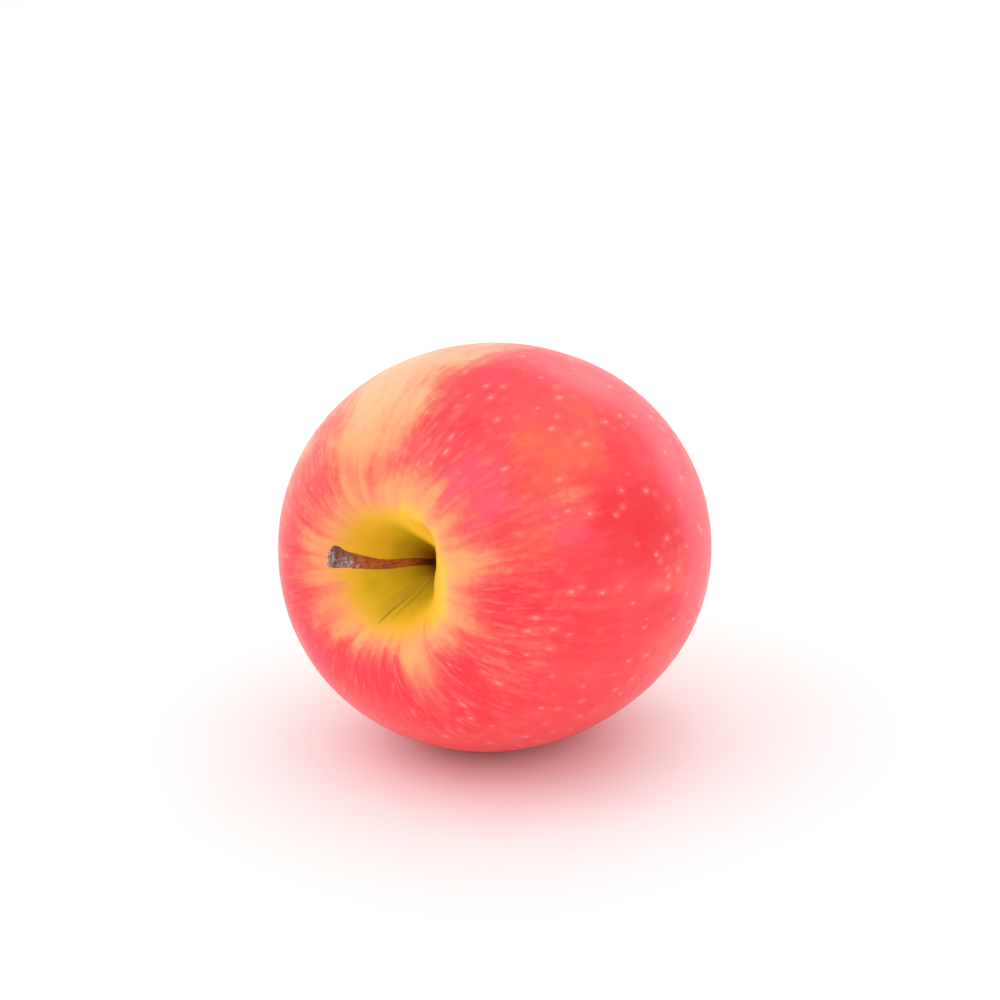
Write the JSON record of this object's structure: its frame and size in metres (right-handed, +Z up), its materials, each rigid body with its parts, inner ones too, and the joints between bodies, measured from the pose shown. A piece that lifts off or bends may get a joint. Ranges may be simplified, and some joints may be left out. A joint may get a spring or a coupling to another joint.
{
  "type": "apple",
  "caption": "Whole ripe apple lying on its cheek, with a woody stalk in its cavity and a dried flower in its eye.",
  "frame": {"origin": "middle of the small flat spot on the cheek that the apple rests on", "axes": "+Z up, away from the surface; the apple's own axis lies along Y, with its stalk end towards -Y and raised by 6.2 degrees; +X across the fruit"},
  "size_m": [0.0764, 0.0781, 0.0745],
  "materials": {
    "skin": "waxy apple skin, red over yellow, soft satin gloss",
    "stalk": "dry brown bark, rough, with pale flecks at the end",
    "sepal": "dried leaf, matte and downy",
    "stamen": "dried brown thread, matte"
  },
  "bodies": {
    "root": {"fruit": "skin", "stalk": "stalk", "sepal_1": "sepal", "sepal_2": "sepal", "sepal_3": "sepal", "sepal_4": "sepal", "sepal_5": "sepal", "stamen_1": "stamen", "stamen_2": "stamen", "stamen_3": "stamen", "stamen_4": "stamen", "stamen_5": "stamen", "stamen_6": "stamen", "stamen_7": "stamen", "stamen_8": "stamen", "stamen_9": "stamen", "stamen_10": "stamen", "styles": "stamen"}
  },
  "joints": []
}
